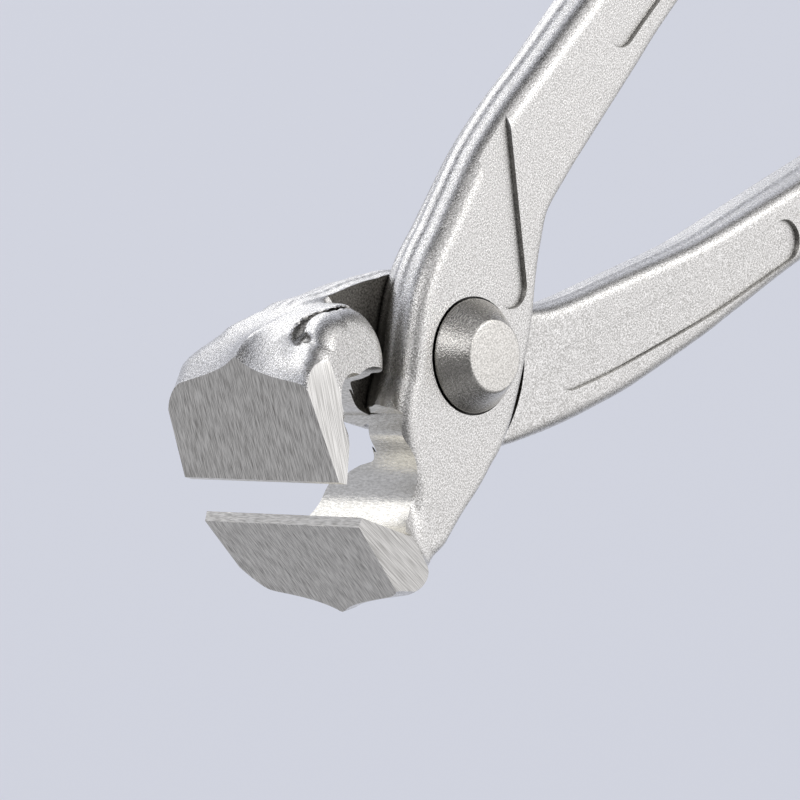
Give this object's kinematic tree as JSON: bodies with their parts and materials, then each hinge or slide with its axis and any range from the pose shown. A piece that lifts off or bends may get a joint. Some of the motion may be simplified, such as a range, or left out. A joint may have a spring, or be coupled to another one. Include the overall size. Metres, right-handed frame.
{
  "type": "concreters nippers",
  "caption": "End-cutting nippers for tying and cutting binding wire: two crossed forged halves that turn on one rivet, with long plain levers.",
  "frame": {"origin": "on the rivet's axis, halfway between the front and rear plates", "axes": "+Z along the rivet, out of the front plate; +X along the tool towards the lever ends; the cutting edges are at -X"},
  "size_m": [0.2182, 0.0684, 0.022],
  "materials": {
    "zinc_plated_steel": "bright zinc plate on forged tool steel, ground faces bare",
    "rivet_steel": "satin steel"
  },
  "bodies": {
    "rear": {"rear_half": "zinc_plated_steel", "rivet": "rivet_steel"},
    "front": {"front_half": "zinc_plated_steel"}
  },
  "joints": [
    {"name": "rivet_hinge", "type": "hinge", "parent": "rear", "child": "front", "pos_m": [0, 0, 0], "axis": [0, 0, 1], "range_deg": [-8.1, 32]}
  ]
}
